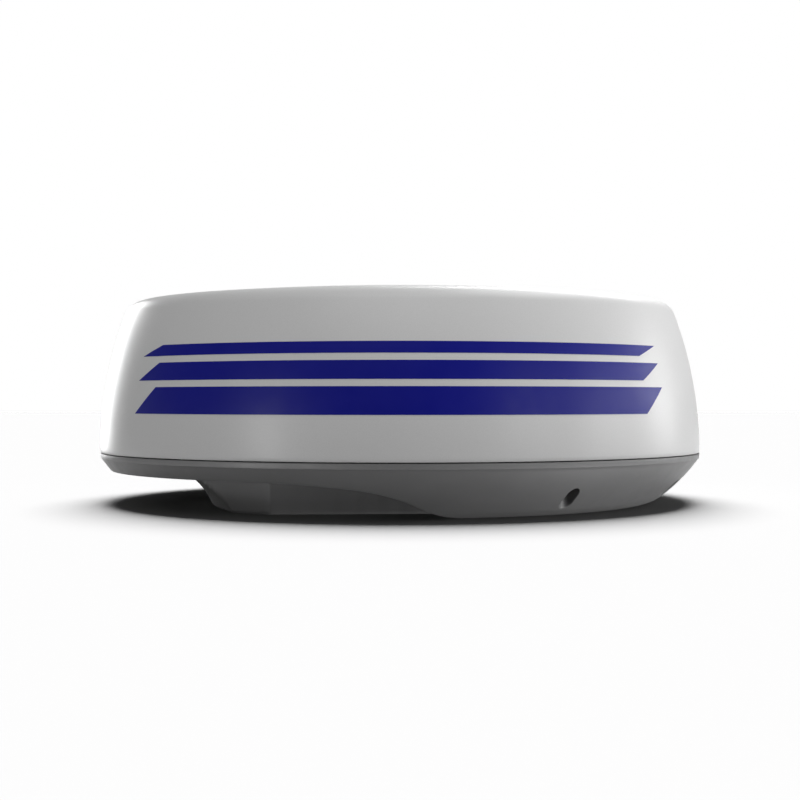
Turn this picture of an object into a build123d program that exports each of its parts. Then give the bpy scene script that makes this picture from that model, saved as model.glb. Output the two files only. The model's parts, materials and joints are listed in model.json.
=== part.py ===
from build123d import *
import math
import os

# Marine radar dome antenna, 24 inch class. Millimetres, +Z up.
# Origin: centre of the base's flat bottom. +X is the bow side, -X the aft side with the plug.

os.makedirs("parts", exist_ok=True)

# ---------------------------------------------------------------- driving dimensions
dome_r = 304.8              # outer radius at the seam, a 24 inch dome
seam_z = 50.8               # height of the seam above the flat bottom
total_height = 214.5        # flat bottom to the top of the crown
seam_gap = 0.8              # shadow gap between the cover and the base
cover_wall = 3.0
wall_arc_r = 400.0          # the cover's side leans inwards along this arc
crown_r = 2600.0            # nearly flat crown
shoulder_r = 18.0           # rounding between side and crown

base_wall = 3.5
band_bottom_z = 45.3        # lower edge of the upright band under the seam
band_r = 304.3
skirt_mid = (287.5, 25.5)   # a point half way down the skirt
skirt_foot = (256.5, 0.0)   # where the skirt would meet the flat bottom
skirt_fillet = 38.0
floor_z = 6.0               # inner floor of the base
recess_depth = 2.5          # shallow recess in the middle of the underside

rim_inner_r, rim_outer_r = 260.0, 301.0     # inner faces of the rim's two walls
gasket_wall_r = 270.5                       # outer face of the rim's inner wall
gasket_r, gasket_width, groove_depth = 265.5, 4.0, 3.0

bay_ceiling = 32.8          # underside of the rim over the aft bay
tongue_half_width = 205.0   # foot half width at its aft corners
tongue_corner_x = -140.0
tongue_end_x = -191.5       # foot's aft end on the centre line, at the bottom
tongue_root = (60.0, 190.0)
tongue_corner_r = 25.0
cove_r, cove_start = 68.0, 22.0     # flare of the foot's end wall, degrees from upright
side_draft = 3.0

pocket_x, pocket_half_width = -172.0, 30.0  # plug pocket in the foot's aft end
plug_z = 18.0

screw_r = 279.0             # pitch radius of the captive cover screws
screw_angles = [20.5, 57.7, 98.0, 139.0, 180.0, -139.0, -98.0, -57.7, -20.5]
slot_r, slot_length, slot_width = 277.5, 20.0, 12.0
screw_seat_z = 40.0

mount_spacing_x, mount_spacing_y = 233.0, 141.5
mount_thread_r, mount_insert_r, mount_insert_length = 3.4, 7.0, 18.0

belt_pitch, belt_teeth, belt_width = 3.0, 142, 9.0
driven_teeth, drive_teeth = 120, 20
belt_z = 76.0               # mid height of the belt
pitch_to_tip = 0.4          # belt pitch line above the pulley's tooth tips
tooth_r = 0.8

shaft_r, shaft_bore_r, bearing_outer_r, bearing_width = 15.0, 10.5, 27.5, 13.0
lower_bearing_z, upper_bearing_z = 17.0, 51.0
running_gap = 0.05

array_half_length, array_bottom_z, array_top_z = 262.0, 94.0, 186.0
array_back_y = -23.5        # rear face of the array's back plate

board_z, board_thickness = 14.0, 1.6

ON_FLOOR = (Align.CENTER, Align.CENTER, Align.MIN)
HANGING = (Align.CENTER, Align.CENTER, Align.MAX)


# ---------------------------------------------------------------- shared helpers
def write(name, builder):
    """Label a finished piece and write it under its node's name."""
    builder.part.label = name
    export_step(builder.part, f"parts/{name}.step")


def on_circle(radius, angle, height=0.0):
    """A place on a circle about the dome's axis, its local X pointing outwards."""
    turn = math.radians(angle)
    return Location((radius * math.cos(turn), radius * math.sin(turn), height), (0, 0, angle))


def ring(outer_r, inner_r, low, high):
    """An upright ring between two heights."""
    with BuildPart() as band:
        with BuildSketch(Plane.XY.offset(low)):
            Circle(outer_r)
            Circle(inner_r, mode=Mode.SUBTRACT)
        extrude(amount=high - low)
    return band


def cap_screws(places, thread_r, length, head_r, head_height):
    """Socket head screws. Each place is the underside of a head, its Z pointing to the head's top."""
    with BuildPart() as socket:
        with BuildSketch():
            RegularPolygon(thread_r, 6)
        extrude(amount=head_height / 2)
    with BuildPart() as screws:
        with Locations(*places):
            Cylinder(head_r, head_height, align=ON_FLOOR)
            Cylinder(thread_r, length, align=HANGING)
        for place in places:
            mouth = place * Pos(0, 0, head_height / 2) * socket.part
            add(mouth, mode=Mode.SUBTRACT)
    return screws


def lead(points, radius):
    """A round lead along straight runs joined by the largest arcs that fit between them."""
    runs = [Vector(b) - Vector(a) for a, b in zip(points, points[1:])]
    bends = []
    for before, after in zip(runs, runs[1:]):
        half_turn = math.radians(before.get_angle(after)) / 2
        bends.append(0.45 * min(before.length, after.length) / math.tan(half_turn))
    print("lead radii", [round(bend, 1) for bend in bends])
    with BuildPart() as tube:
        with BuildLine() as path:
            FilletPolyline(*points, radius=bends)
        with BuildSketch(Plane(origin=path.line @ 0, z_dir=path.line % 0)):
            Circle(radius)
        sweep()
    return tube


vent_place = Pos(-238.0, 62.0, bay_ceiling)
ground_place = Pos(-238.0, -62.0, bay_ceiling)
housing_bolt_places = [on_circle(50.0, 30 + 60 * turn, floor_z + 6) for turn in range(6)]


# ---------------------------------------------------------------- radome cover
def shoulder_point(inset):
    """Where the leaning side and the crown would meet, both moved inwards by inset."""
    radius = dome_r - inset
    for _ in range(8):
        height = total_height - crown_r + math.sqrt((crown_r - inset) ** 2 - radius**2)
        radius = dome_r - wall_arc_r + math.sqrt((wall_arc_r - inset) ** 2 - (height - seam_z) ** 2)
    return radius, height


def build_radome_cover():
    low = seam_z + seam_gap / 2
    flange = ring(dome_r - cover_wall + 0.5, rim_inner_r, low, low + 3.0)
    with BuildPart() as cover:
        with BuildSketch(Plane.XZ) as section:
            for inset, mode in ((0, Mode.ADD), (cover_wall, Mode.SUBTRACT)):
                side_bottom, shoulder = (dome_r - inset, low), shoulder_point(inset)
                top = (0, total_height - inset)
                with BuildLine():
                    Polyline(top, (0, low), side_bottom)
                    RadiusArc(side_bottom, shoulder, -(wall_arc_r - inset))
                    RadiusArc(shoulder, top, -(crown_r - inset))
                make_face(mode=mode)
            for inset in (0, cover_wall):
                corner = Vector(*shoulder_point(inset))
                fillet(section.vertices().sort_by_distance(corner)[0], shoulder_r - inset)
        revolve()
        add(flange.part)
        with Locations(*[on_circle(screw_r, angle, low) for angle in screw_angles]):
            Cylinder(8.0, 20.0, align=ON_FLOOR)
            with Locations((12.0, 0, 0)):
                Box(20.0, 3.0, 18.0, align=ON_FLOOR)
            Cylinder(4.0, 14.0, align=ON_FLOOR, mode=Mode.SUBTRACT)
    return cover


# ---------------------------------------------------------------- base housing
def wave_block(wall):
    """Everything below the aft bay's ceiling, which runs out in an S down to the bottom."""
    with BuildPart() as block:
        with BuildSketch(Plane.XZ):
            with BuildLine() as edge:
                crest = (-130.0, bay_ceiling + wall)
                Spline(crest, (-63.0, 29.5 + wall), (-12.0, 21.5 + wall), (17.0 + wall, 10.3),
                       (50.0 + wall, -0.5), tangents=((1, 0), (1, -0.12)))
                Polyline(edge.line @ 1, (50.0 + wall, -20.0), (-330.0, -20.0),
                         (-330.0, bay_ceiling + wall), crest)
            make_face()
        extrude(amount=330.0, both=True)
    return block


def tongue(inset, low, high):
    """The foot between two heights: upright sides and an aft end that flares into the ceiling."""
    with BuildPart() as foot:
        steps = 4
        for step in range(steps + 1):
            height = low + (high - low) * step / steps
            lean = math.asin(math.sin(math.radians(cove_start)) + height / cove_r)
            flare = cove_r * (math.cos(math.radians(cove_start)) - math.cos(lean)) - inset
            side = height * math.tan(math.radians(side_draft)) - inset
            corner = (tongue_corner_x - flare, tongue_half_width + side)
            root = (tongue_root[0], tongue_root[1] + side)
            with BuildSketch(Plane.XY.offset(height)) as outline:
                with BuildLine():
                    ThreePointArc((corner[0], -corner[1]), (tongue_end_x - flare, 0), corner)
                    Polyline(corner, root, (root[0], -root[1]), (corner[0], -corner[1]))
                make_face()
                fillet(outline.vertices().group_by(Axis.X)[0], tongue_corner_r)
        loft()
    return foot


def build_base_cavity():
    """The tub inside the base and the open channel between the rim's two walls."""
    wave_skin = wave_block(base_wall)
    foot_room = tongue(base_wall, floor_z, bay_ceiling + base_wall + 0.5)
    with BuildPart() as cavity:
        with BuildSketch(Plane.XZ):
            Polygon((0, floor_z), (247, floor_z), (rim_inner_r, 14.5), (rim_inner_r, seam_z), (0, seam_z),
                    align=None)
            Polygon((gasket_wall_r, 17.0), (285.0, 29.0), (297.0, 42.5), (rim_outer_r, 47.0),
                    (rim_outer_r, seam_z), (gasket_wall_r, seam_z), align=None)
        revolve()
        with BuildSketch(Plane.XY):
            with Locations(*[on_circle(screw_r + 6, angle) for angle in screw_angles]):
                SlotOverall(36.0, 16.0)
        extrude(amount=seam_z, mode=Mode.SUBTRACT)
        add(wave_skin.part, mode=Mode.SUBTRACT)
        add(foot_room.part)
        with Locations((pocket_x + 4, 0, 0)):
            Box(80.0, 2 * pocket_half_width + 8, 2 * (bay_ceiling + base_wall),
                align=(Align.MAX, Align.CENTER, Align.CENTER), mode=Mode.SUBTRACT)
        with GridLocations(mount_spacing_x, mount_spacing_y, 2, 2):
            Cylinder(mount_insert_r + 6, mount_insert_length + 6, align=ON_FLOOR, mode=Mode.SUBTRACT)
    return cavity


def build_base_housing():
    top = seam_z - seam_gap / 2
    cavity = build_base_cavity()
    bay, foot = wave_block(0), tongue(0, 0, bay_ceiling + 2.0)
    groove = ring(gasket_r + gasket_width / 2, gasket_r - gasket_width / 2, top - groove_depth, top)
    with BuildPart() as base:
        with BuildSketch(Plane.XZ) as section:
            with BuildLine():
                Polyline((dome_r, top), (0, top), (0, 0), skirt_foot)
                ThreePointArc(skirt_foot, skirt_mid, (band_r - 1.3, band_bottom_z - 1.0))
                Polyline((band_r - 1.3, band_bottom_z - 1.0), (band_r, band_bottom_z), (dome_r, top))
            make_face()
            corner = Vector(*skirt_foot)
            fillet(section.vertices().sort_by_distance(corner)[0], skirt_fillet)
        revolve()
        add(bay.part, mode=Mode.SUBTRACT)
        add(foot.part)
        foot_edges = base.edges().filter_by_position(Axis.Z, -0.01, 0.01)
        foot_edges = foot_edges.filter_by(lambda edge: (edge @ 0.5).Y ** 2 + (edge @ 0.5).X ** 2 < 240**2)
        foot_edges = foot_edges.filter_by(lambda edge: (edge @ 0.5).X < 0)
        fillet(foot_edges, 2.5)
        add(cavity.part, mode=Mode.SUBTRACT)
        with Locations((pocket_x, 0, 0)):
            Box(80.0, 2 * pocket_half_width, 2 * bay_ceiling,
                align=(Align.MAX, Align.CENTER, Align.CENTER), mode=Mode.SUBTRACT)
        add(groove.part, mode=Mode.SUBTRACT)
        with BuildSketch(Plane.XY):
            with Locations(*[on_circle(slot_r, angle) for angle in screw_angles]):
                SlotOverall(slot_length, slot_width)
        extrude(amount=screw_seat_z, mode=Mode.SUBTRACT)
        with Locations(*[on_circle(screw_r, angle) for angle in screw_angles]):
            Cylinder(2.8, seam_z, align=ON_FLOOR, mode=Mode.SUBTRACT)
        with BuildSketch():
            RectangleRounded(290.0, 300.0, 40.0)
            with GridLocations(mount_spacing_x, mount_spacing_y, 2, 2):
                Circle(22.0, mode=Mode.SUBTRACT)
        extrude(amount=recess_depth, mode=Mode.SUBTRACT)
        with GridLocations(mount_spacing_x, mount_spacing_y, 2, 2):
            Cylinder(mount_insert_r, mount_insert_length, align=ON_FLOOR, mode=Mode.SUBTRACT)
        with Locations((pocket_x, 0, plug_z)):
            Cylinder(8.0, 20.0, rotation=(0, 90, 0), mode=Mode.SUBTRACT)
        with Locations(vent_place, ground_place):
            Cylinder(4.0, 20.0, mode=Mode.SUBTRACT)
        with Locations(*housing_bolt_places):
            Cylinder(2.5, 8.6, align=HANGING, mode=Mode.SUBTRACT)
    return base


# ---------------------------------------------------------------- sealing, inserts and fasteners
def build_rim_gasket():
    top = seam_z + seam_gap / 2
    return ring(gasket_r + gasket_width / 2, gasket_r - gasket_width / 2,
                seam_z - seam_gap / 2 - groove_depth, top)


def build_cover_screws():
    places = [on_circle(screw_r, angle, screw_seat_z - 1.0) * Rot(180, 0, 0) for angle in screw_angles]
    return cap_screws(places, 2.4, 23.0, 4.2, 4.6)


def build_screw_seals():
    with BuildPart() as seals:
        with Locations(*[on_circle(screw_r, angle, screw_seat_z - 1.0) for angle in screw_angles]):
            Cylinder(4.4, 1.0, align=ON_FLOOR)
            Cylinder(2.5, 1.0, align=ON_FLOOR, mode=Mode.SUBTRACT)
    return seals


def build_cover_inserts():
    low = seam_z + seam_gap / 2 + 0.5
    with BuildPart() as inserts:
        with Locations(*[on_circle(screw_r, angle, low) for angle in screw_angles]):
            Cylinder(4.0, 11.0, align=ON_FLOOR)
            Cylinder(2.5, 11.0, align=ON_FLOOR, mode=Mode.SUBTRACT)
    return inserts


def build_mount_inserts():
    with BuildPart() as inserts:
        with GridLocations(mount_spacing_x, mount_spacing_y, 2, 2):
            Cylinder(mount_insert_r, mount_insert_length, align=ON_FLOOR)
            Cylinder(mount_thread_r, mount_insert_length - 2, align=ON_FLOOR, mode=Mode.SUBTRACT)
    return inserts


def build_vent_plug():
    with BuildPart() as plug:
        with BuildSketch(Plane.XY.offset(bay_ceiling)):
            with Locations(vent_place):
                RegularPolygon(9.0, 6)
        extrude(amount=-3.0)
        with Locations(vent_place):
            Cylinder(8.0, 6.0, align=HANGING)
            Cylinder(4.0, base_wall + 3, align=ON_FLOOR)
            Cylinder(2.0, base_wall + 3, align=ON_FLOOR, mode=Mode.SUBTRACT)
        with Locations(vent_place * Pos(0, 0, -6)):
            Cylinder(5.5, 1.5, align=ON_FLOOR, mode=Mode.SUBTRACT)
    return plug


def build_vent_membrane():
    with BuildPart() as membrane:
        with Locations(vent_place * Pos(0, 0, -5)):
            Cylinder(5.5, 0.5, align=ON_FLOOR)
    return membrane


def build_ground_screw():
    with BuildPart() as screw:
        with Locations(ground_place):
            Cylinder(6.5, 1.2, align=HANGING)
            Cylinder(4.0, 14.0, align=ON_FLOOR)
        with Locations(ground_place * Pos(0, 0, -1.2)):
            Cylinder(4.6, 4.0, align=HANGING)
        with Locations(ground_place * Pos(0, 0, -5.2)):
            Box(7.0, 1.2, 3.0, mode=Mode.SUBTRACT)
    return screw


# ---------------------------------------------------------------- plug connection
plug_face = Plane(origin=(pocket_x, 0, plug_z), z_dir=(-1, 0, 0))
shell_r, shell_length, flange_half, flange_thickness = 9.0, 12.0, 13.5, 3.0


def build_connector_receptacle():
    with BuildPart() as receptacle:
        with BuildSketch(plug_face.offset(1.0)):
            RectangleRounded(2 * flange_half, 2 * flange_half, 3.0)
        extrude(amount=flange_thickness)
        with BuildSketch(plug_face.offset(1.0 + flange_thickness)):
            Circle(shell_r)
        extrude(amount=shell_length)
        with BuildSketch(plug_face.offset(1.0)):
            Circle(8.0)
        extrude(amount=-17.0)
        with BuildSketch(plug_face.offset(1.0 + flange_thickness + shell_length)):
            Circle(7.2)
        extrude(amount=-shell_length, mode=Mode.SUBTRACT)
        with BuildSketch(plug_face.offset(4.0)):
            with PolarLocations(4.6, 5):
                Circle(0.8)
            Circle(0.8)
        extrude(amount=-20.0, mode=Mode.SUBTRACT)
    return receptacle


def build_connector_pins():
    with BuildPart() as pins:
        with BuildSketch(plug_face.offset(-16.0)):
            with PolarLocations(4.6, 5):
                Circle(0.8)
            Circle(0.8)
        extrude(amount=26.0)
    return pins


def build_connector_seal():
    with BuildPart() as seal:
        with BuildSketch(plug_face):
            RectangleRounded(2 * flange_half, 2 * flange_half, 3.0)
            Circle(8.0, mode=Mode.SUBTRACT)
        extrude(amount=1.0)
    return seal


def build_connector_nut():
    with BuildPart() as nut:
        with BuildSketch(plug_face.offset(-4.0)):
            RegularPolygon(11.5, 6)
            Circle(8.0, mode=Mode.SUBTRACT)
        extrude(amount=-5.0)
    return nut


# ---------------------------------------------------------------- bearing housing and bearings
housing_top = upper_bearing_z + bearing_width
retainer_top = housing_top + 3.0
pulley_half = belt_width / 2 + 1.0
turntable_z = belt_z + pulley_half + 0.5
sensor_place = on_circle(47.0, 45.0, floor_z + 6.0)


def build_bearing_housing():
    with BuildPart() as housing:
        with BuildSketch(Plane.XZ):
            Polygon((24, floor_z), (60, floor_z), (60, 12), (37, 12), (33, 20), (33, housing_top),
                    (bearing_outer_r, housing_top), (bearing_outer_r, lower_bearing_z),
                    (24, lower_bearing_z), align=None)
        revolve()
        with BuildSketch(Plane.XY.offset(floor_z)):
            with PolarLocations(42.0, 6):
                Rectangle(26.0, 3.0)
        extrude(amount=30.0)
        with Locations(*housing_bolt_places):
            Cylinder(2.5, 30.0, mode=Mode.SUBTRACT)
        with Locations((42.0, 0, floor_z)):
            Box(44.0, 8.0, 10.0, mode=Mode.SUBTRACT)
        with Locations((0, 0, lower_bearing_z)):
            Cylinder(bearing_outer_r, housing_top, align=ON_FLOOR, mode=Mode.SUBTRACT)
    return housing


def build_housing_screws():
    return cap_screws(housing_bolt_places, 2.5, 8.4, 4.2, 5.0)


def build_bearing_rings(low, outer):
    """One ring of a deep groove ball bearing."""
    middle = low + bearing_width / 2
    track_r = (shaft_r + bearing_outer_r) / 2
    with BuildPart() as bearing_ring:
        with BuildSketch(Plane.XZ):
            with BuildLine():
                if outer:
                    Polyline((bearing_outer_r, low), (bearing_outer_r, low + bearing_width),
                             (24.0, low + bearing_width), (24.0, low), close=True)
                else:
                    Polyline((shaft_r, low), (shaft_r, low + bearing_width),
                             (18.5, low + bearing_width), (18.5, low), close=True)
            make_face()
            with Locations((track_r, middle)):
                Circle(4.0 + running_gap, mode=Mode.SUBTRACT)
        revolve()
    return bearing_ring


def build_bearing_balls():
    track_r = (shaft_r + bearing_outer_r) / 2
    with BuildPart() as balls:
        for low in (lower_bearing_z, upper_bearing_z):
            with Locations((0, 0, low + bearing_width / 2)):
                with PolarLocations(track_r, 11):
                    Sphere(4.0)
    return balls


def build_bearing_retainer():
    plate = ring(33.0, 24.5, housing_top, retainer_top)
    with BuildPart() as retainer:
        add(plate.part)
        with PolarLocations(30.2, 4, start_angle=45):
            Cylinder(1.6, 3 * housing_top, mode=Mode.SUBTRACT)
    return retainer


# ---------------------------------------------------------------- belt drive
pitch_circle = belt_pitch / math.tau
driven_r, drive_r = driven_teeth * pitch_circle, drive_teeth * pitch_circle


def belt_path_length(distance):
    """Pitch length of the belt round both pulleys at a centre distance."""
    lean = math.asin((driven_r - drive_r) / distance)
    wraps = driven_r * (math.pi + 2 * lean) + drive_r * (math.pi - 2 * lean)
    return 2 * distance * math.cos(lean) + wraps


def belt_centre_distance():
    """The centre distance that a whole number of belt teeth needs."""
    low, high = driven_r + drive_r + 10, 3 * driven_r
    for _ in range(50):
        middle = (low + high) / 2
        if belt_path_length(middle) < belt_pitch * belt_teeth:
            low = middle
        else:
            high = middle
    return middle


centre_distance = belt_centre_distance()
motor_place = Pos(0, -centre_distance, 0)
belt_lean = math.asin((driven_r - drive_r) / centre_distance)


def belt_point(travel, depth):
    """A point of the belt after some travel, and depth inside its pitch line, motor towards -Y."""
    big_half = math.pi / 2 + belt_lean
    span = centre_distance * math.cos(belt_lean)
    travel = travel % (belt_pitch * belt_teeth)
    big_wrap, small_wrap = 2 * big_half * driven_r, 2 * (math.pi - big_half) * drive_r
    if travel < big_wrap:
        angle = math.pi / 2 - big_half + travel / driven_r
        return (driven_r - depth) * math.cos(angle), (driven_r - depth) * math.sin(angle)
    travel -= big_wrap
    leaving = math.pi / 2 + big_half
    if travel < span:
        foot = ((driven_r - depth) * math.cos(leaving), (driven_r - depth) * math.sin(leaving))
        return foot[0] - travel * math.sin(leaving), foot[1] + travel * math.cos(leaving)
    travel -= span
    if travel < small_wrap:
        angle = leaving + travel / drive_r
        return ((drive_r - depth) * math.cos(angle),
                (drive_r - depth) * math.sin(angle) - centre_distance)
    travel -= small_wrap
    leaving = math.pi / 2 - big_half
    foot = ((drive_r - depth) * math.cos(leaving), (drive_r - depth) * math.sin(leaving) - centre_distance)
    return foot[0] - travel * math.sin(leaving), foot[1] + travel * math.cos(leaving)


def belt_outline(depth):
    """The belt's line round both pulleys, depth inside its pitch line, as two arcs and two spans."""
    big_half = math.pi / 2 + belt_lean
    big_wrap, span = 2 * big_half * driven_r, centre_distance * math.cos(belt_lean)
    small_wrap = 2 * (math.pi - big_half) * drive_r
    stops = [0, big_wrap / 2, big_wrap - 1e-6, big_wrap + span, big_wrap + span + small_wrap / 2,
             big_wrap + span + small_wrap - 1e-6]
    return [belt_point(stop, depth) for stop in stops]


def build_drive_belt():
    backing = 0.7
    with BuildPart() as belt:
        with BuildSketch(Plane.XY.offset(belt_z - belt_width / 2)):
            for depth, mode in ((-backing, Mode.ADD), (pitch_to_tip, Mode.SUBTRACT)):
                a, b, c, d, e, f = belt_outline(depth)
                with BuildLine():
                    ThreePointArc(a, b, c)
                    Line(c, d)
                    ThreePointArc(d, e, f)
                    Line(f, a)
                make_face(mode=mode)
            with Locations(*[belt_point(tooth * belt_pitch, pitch_to_tip) for tooth in range(belt_teeth)]):
                Circle(tooth_r - running_gap)
        extrude(amount=belt_width)
    return belt


def groove_phase(follower):
    """Where a pulley's first groove stands so that the belt's teeth drop into its grooves, degrees."""
    big_half = math.pi / 2 + belt_lean
    if not follower:
        return math.degrees(math.pi / 2 - big_half)
    arc_start = 2 * big_half * driven_r + centre_distance * math.cos(belt_lean)
    first_tooth = math.ceil(arc_start / belt_pitch) * belt_pitch
    return math.degrees(math.pi / 2 + big_half + (first_tooth - arc_start) / drive_r)


def pulley_rim(teeth, radius, phase, centre):
    """A toothed rim with a guide flange above and below the belt."""
    with BuildPart() as rim:
        with BuildSketch(Plane.XY.offset(belt_z - belt_width / 2 - 0.2)):
            with Locations(centre):
                Circle(radius - pitch_to_tip)
                with PolarLocations(radius - pitch_to_tip, teeth, start_angle=phase):
                    Circle(tooth_r, mode=Mode.SUBTRACT)
        extrude(amount=belt_width + 0.4)
        for low in (belt_z - pulley_half, belt_z + belt_width / 2 + 0.2):
            with Locations(centre * Pos(0, 0, low)):
                Cylinder(radius + 1.2, 0.8, align=ON_FLOOR)
    return rim


def build_driven_pulley():
    rim = pulley_rim(driven_teeth, driven_r, groove_phase(False), Pos(0, 0, 0))
    with BuildPart() as pulley:
        add(rim.part)
        with Locations((0, 0, belt_z - pulley_half)):
            Cylinder(driven_r - 5, 3.0, align=ON_FLOOR, mode=Mode.SUBTRACT)
        with Locations((0, 0, belt_z + pulley_half)):
            Cylinder(driven_r - 5, 3.0, align=HANGING, mode=Mode.SUBTRACT)
        with Locations((0, 0, belt_z)):
            Cylinder(36.0, 2 * pulley_half)
            with PolarLocations(45.0, 6):
                Cylinder(6.0, 12.0, mode=Mode.SUBTRACT)
            Cylinder(19.0, 20.0, mode=Mode.SUBTRACT)
            with PolarLocations(28.0, 4, start_angle=45):
                Cylinder(2.1, 20.0, mode=Mode.SUBTRACT)
    return pulley


def build_drive_pulley():
    rim = pulley_rim(drive_teeth, drive_r, groove_phase(True), motor_place)
    with BuildPart() as pulley:
        add(rim.part)
        with Locations(motor_place * Pos(0, 0, belt_z - pulley_half)):
            Cylinder(7.0, 5.0, align=HANGING)
        with Locations(motor_place * Pos(0, 0, belt_z)):
            Cylinder(motor_shaft_r, 40.0, mode=Mode.SUBTRACT)
        with Locations(motor_place * Pos(0, 0, belt_z - pulley_half - 2.5) * Rot(0, 90, 0)):
            Cylinder(1.5, 10.0, align=ON_FLOOR, mode=Mode.SUBTRACT)
    return pulley


def build_pulley_set_screw():
    with BuildPart() as screw:
        with Locations(motor_place * Pos(motor_shaft_r, 0, belt_z - pulley_half - 2.5) * Rot(0, 90, 0)):
            Cylinder(1.5, 4.0, align=ON_FLOOR)
            Cylinder(0.7, 4.0, align=ON_FLOOR, mode=Mode.SUBTRACT)
    return screw


# ---------------------------------------------------------------- drive motor
motor_half, motor_low, motor_top = 28.0, 10.0, 56.0
motor_shaft_r, bracket_thickness = 4.0, 4.0
motor_bolt = 47.14


def build_motor_bracket():
    plate = 82.0
    with BuildPart() as bracket:
        with BuildSketch(Plane.XY.offset(motor_top)):
            with Locations(motor_place):
                RectangleRounded(plate, plate, 8.0)
                Circle(19.05, mode=Mode.SUBTRACT)
                with GridLocations(motor_bolt, motor_bolt, 2, 2):
                    Circle(2.2, mode=Mode.SUBTRACT)
        extrude(amount=bracket_thickness)
        with Locations(motor_place * Pos(0, 0, floor_z)):
            with GridLocations(plate - 14, plate - 14, 2, 2):
                Cylinder(5.0, motor_top - floor_z, align=ON_FLOOR)
                Cylinder(8.0, 3.0, align=ON_FLOOR)
    return bracket


def build_drive_motor():
    with BuildPart() as motor:
        with BuildSketch(Plane.XY.offset(motor_low)) as plan:
            with Locations(motor_place):
                Rectangle(2 * motor_half, 2 * motor_half)
            chamfer(plan.vertices(), 4.0)
        extrude(amount=motor_top - motor_low)
        with Locations(motor_place * Pos(0, 0, motor_top)):
            Cylinder(19.0, 1.6, align=ON_FLOOR)
            Cylinder(motor_shaft_r + running_gap, 2 * (motor_top - motor_low), mode=Mode.SUBTRACT)
        with Locations(motor_place * Pos(0, 0, (motor_low + motor_top) / 2)):
            Cylinder(15.5, 30.0, mode=Mode.SUBTRACT)
            with GridLocations(motor_bolt, motor_bolt, 2, 2):
                Cylinder(1.9, 50.0, mode=Mode.SUBTRACT)
    return motor


def build_motor_shaft():
    with BuildPart() as shaft:
        with Locations(motor_place * Pos(0, 0, motor_low + 1)):
            Cylinder(motor_shaft_r, belt_z + pulley_half - 1 - (motor_low + 1), align=ON_FLOOR)
        chamfer(shaft.edges().filter_by(GeomType.CIRCLE), 0.5)
    return shaft


def build_motor_rotor():
    with BuildPart() as rotor:
        with Locations(motor_place * Pos(0, 0, (motor_low + motor_top) / 2)):
            Cylinder(15.0, 28.0)
            Cylinder(motor_shaft_r, 30.0, mode=Mode.SUBTRACT)
    return rotor


def build_motor_screws():
    places = [motor_place * Pos(x, y, motor_top + bracket_thickness)
              for x in (-motor_bolt / 2, motor_bolt / 2) for y in (-motor_bolt / 2, motor_bolt / 2)]
    return cap_screws(places, 1.9, 12.0, 3.5, 4.0)


# ---------------------------------------------------------------- circuit boards
main_board_centre, main_board_size = (180.0, 0.0), (88.0, 200.0)
power_board_centre, power_board_size = (-106.0, 0.0), (52.0, 96.0)
cans = [((180.0, 52.0), (64.0, 72.0)), ((188.0, -46.0), (52.0, 60.0))]


def board_corners(centre, size):
    """Four fixing places, 5 mm in from a board's corners."""
    return [(centre[0] + x * (size[0] / 2 - 5), centre[1] + y * (size[1] / 2 - 5))
            for x in (-1, 1) for y in (-1, 1)]


board_fixings = board_corners(main_board_centre, main_board_size)
board_fixings += board_corners(power_board_centre, power_board_size)


def build_board(centre, size):
    with BuildPart() as board:
        with BuildSketch(Plane.XY.offset(board_z)):
            with Locations(centre):
                RectangleRounded(size[0], size[1], 3.0)
            with Locations(*board_corners(centre, size)):
                Circle(1.6, mode=Mode.SUBTRACT)
        extrude(amount=board_thickness)
    return board


def build_board_standoffs():
    with BuildPart() as standoffs:
        with BuildSketch(Plane.XY.offset(floor_z)):
            with Locations(*board_fixings):
                RegularPolygon(3.2, 6)
                Circle(1.5, mode=Mode.SUBTRACT)
        extrude(amount=board_z - floor_z)
    return standoffs


def build_board_screws():
    places = [Pos(x, y, board_z + board_thickness) for x, y in board_fixings]
    return cap_screws(places, 1.5, 7.0, 2.8, 2.2)


def build_main_board_parts():
    """Processor, memory, magnetics and the two plug headers."""
    low = board_z + board_thickness
    with BuildPart() as chips:
        for x, y, width, depth, height in ((160, 52, 18, 18, 2.4), (182, 66, 12, 9, 1.2),
                                           (182, 40, 12, 9, 1.2), (178, -46, 14, 14, 1.6),
                                           (200, -46, 10, 16, 4.0), (141, 0, 8, 18, 9.0),
                                           (152, -80, 16, 16, 11.0), (150, -50, 6, 10, 3.0)):
            with Locations((x, y, low)):
                Box(width, depth, height, align=ON_FLOOR)
    return chips


def build_power_board_parts():
    """Input header, coil, capacitors and switching transistors."""
    low = board_z + board_thickness
    with BuildPart() as chips:
        with Locations((-122, 0, low)):
            Box(9, 20, 9, align=ON_FLOOR)
        with Locations((-90, -30, low)):
            Box(9, 12, 9, align=ON_FLOOR)
        with Locations((-100, 22, low)):
            Cylinder(9.0, 9.0, align=ON_FLOOR)
            Cylinder(4.0, 9.0, align=ON_FLOOR, mode=Mode.SUBTRACT)
        with Locations((-118, 26, low), (-118, -26, low), (-104, -26, low)):
            Cylinder(5.0, 13.0, align=ON_FLOOR)
        with Locations((-98, 0, low), (-88, 0, low)):
            Box(6, 10, 4.5, align=ON_FLOOR)
    return chips


def build_shield_cans():
    low = board_z + board_thickness
    with BuildPart() as shields:
        for centre, size in cans:
            with Locations((*centre, low)):
                Box(*size, 7.0, align=ON_FLOOR)
                Box(size[0] - 0.8, size[1] - 0.8, 6.6, align=ON_FLOOR, mode=Mode.SUBTRACT)
    return shields


def build_sensor_post():
    with BuildPart() as post:
        with Locations(sensor_place):
            Cylinder(3.0, 50.0, align=ON_FLOOR)
        with Locations(sensor_place * Pos(0, 0, 50)):
            Box(16.0, 12.0, 1.6, align=ON_FLOOR)
    return post


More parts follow.
